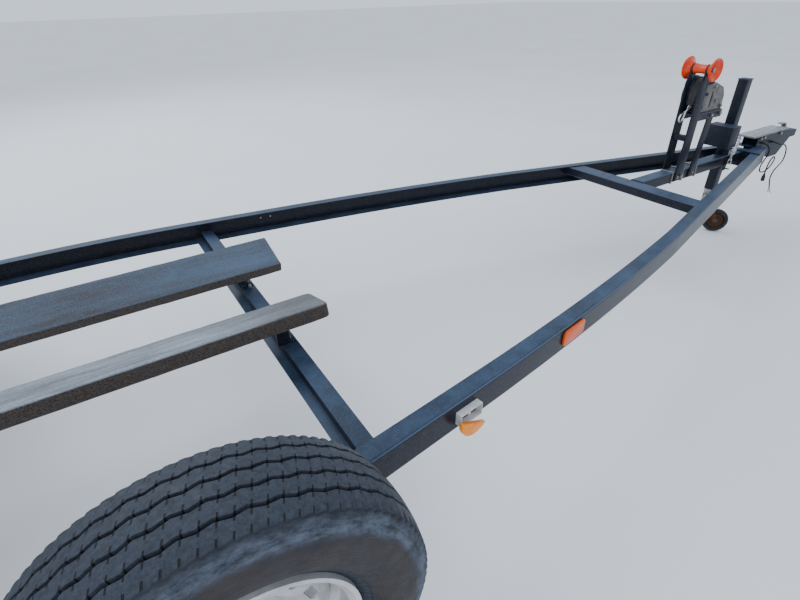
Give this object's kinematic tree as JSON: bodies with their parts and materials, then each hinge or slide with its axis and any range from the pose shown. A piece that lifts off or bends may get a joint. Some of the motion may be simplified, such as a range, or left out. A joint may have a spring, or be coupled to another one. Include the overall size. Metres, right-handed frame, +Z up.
{
  "type": "boat trailer",
  "caption": "Boat trailer with bent channel rails, carpeted bunks, winch stand with bow roller, tongue jack and a spare wheel at the rail",
  "frame": {"origin": "on the ground, in the middle of the overall length and width", "axes": "+X forward to the coupler, +Y to the trailer's left side, +Z up"},
  "size_m": [6.96, 2.48, 1.152],
  "materials": {
    "frame_paint": "dark brown-black metal flake, gloss",
    "stand_paint": "dark grey, worn gloss",
    "bare_steel": "weathered zinc",
    "step_metal": "ribbed, dull",
    "hub_iron": "rough",
    "rim_paint": "off-white, dirty",
    "tyre_rubber": "weathered, dusty",
    "fender_paint": "dark brown-black metal flake, gloss",
    "bunk_carpet": "worn loop carpet",
    "roller_plastic": "translucent red-orange",
    "strap_web": "black webbing",
    "caster_rubber": "matte",
    "lamp_shell": "white, weathered",
    "amber_lens": "amber, translucent",
    "red_lens": "red, translucent",
    "cable_sheath": "black",
    "plug_plastic": "black"
  },
  "bodies": {
    "trailer": {"side_rail_left": "frame_paint", "side_rail_right": "frame_paint", "rear_cross_member": "frame_paint", "front_cross_member": "frame_paint", "nose_cross_member": "frame_paint", "bunk_cross_member": "frame_paint", "middle_cross_member": "frame_paint", "tongue_beam": "frame_paint", "nose_plate": "frame_paint", "coupler_housing": "stand_paint", "coupler_latch": "bare_steel", "step_plate": "step_metal", "axle_tube": "frame_paint", "torsion_arm_left": "frame_paint", "torsion_arm_right": "frame_paint", "fender_left": "fender_paint", "fender_right": "fender_paint", "spare_carrier": "frame_paint", "rim_spare": "rim_paint", "tyre_spare": "tyre_rubber", "bunk_left": "bunk_carpet", "bunk_right": "bunk_carpet", "bunk_brackets": "frame_paint", "winch_stand": "stand_paint", "beam_straps": "bare_steel", "winch_frame": "bare_steel", "strap_tail": "strap_web", "strap_hook": "bare_steel", "roller_shaft": "bare_steel", "jack_outer_tube": "stand_paint", "tongue_box": "stand_paint", "marker_lamps": "lamp_shell", "marker_lens_left": "amber_lens", "marker_lens_right": "amber_lens", "reflectors": "amber_lens", "tail_lamps": "red_lens", "safety_chain": "bare_steel", "plug_lead": "cable_sheath", "lamp_lead": "cable_sheath", "trailer_plug": "plug_plastic"},
    "road_wheel_left": {"hub_left": "hub_iron", "rim_left": "rim_paint", "tyre_left": "tyre_rubber"},
    "road_wheel_right": {"hub_right": "hub_iron", "rim_right": "rim_paint", "tyre_right": "tyre_rubber"},
    "bow_roller": {"bow_roller": "roller_plastic"},
    "winch_drum": {"winch_drum": "strap_web"},
    "winch_crank": {"winch_crank": "bare_steel"},
    "jack_leg": {"jack_inner_tube": "bare_steel"},
    "jack_caster": {"caster_fork": "bare_steel"},
    "jack_wheel": {"caster_wheel": "caster_rubber"}
  },
  "joints": [
    {"name": "road_wheel_left_spin", "type": "hinge", "parent": "trailer", "child": "road_wheel_left", "pos_m": [-2.08, 1.102, 0.359], "axis": [0, 1, 0], "continuous": true},
    {"name": "road_wheel_right_spin", "type": "hinge", "parent": "trailer", "child": "road_wheel_right", "pos_m": [-2.08, -1.102, 0.359], "axis": [0, 1, 0], "continuous": true},
    {"name": "bow_roller_spin", "type": "hinge", "parent": "trailer", "child": "bow_roller", "pos_m": [2.035, 0, 1.092], "axis": [0, 1, 0], "continuous": true},
    {"name": "winch_drum_turn", "type": "hinge", "parent": "trailer", "child": "winch_drum", "pos_m": [2.095, 0, 0.958], "axis": [0, 1, 0], "continuous": true},
    {"name": "winch_crank_turn", "type": "hinge", "parent": "trailer", "child": "winch_crank", "pos_m": [2.215, 0, 0.913], "axis": [0, 1, 0], "continuous": true},
    {"name": "jack_slide", "type": "slide", "parent": "trailer", "child": "jack_leg", "axis": [0, 0, -1], "range_m": [-0.085, 0.25]},
    {"name": "jack_caster_swivel", "type": "hinge", "parent": "jack_leg", "child": "jack_caster", "pos_m": [2.565, 0, 0.2], "axis": [0, 0, 1], "continuous": true},
    {"name": "jack_wheel_spin", "type": "hinge", "parent": "jack_caster", "child": "jack_wheel", "pos_m": [2.61662, -0.07372, 0.08], "axis": [-0.8192, -0.5736, 0], "continuous": true}
  ],
  "couplings": [
    {"joint": "winch_crank_turn", "follows": "winch_drum_turn", "ratio": -2.6544}
  ]
}
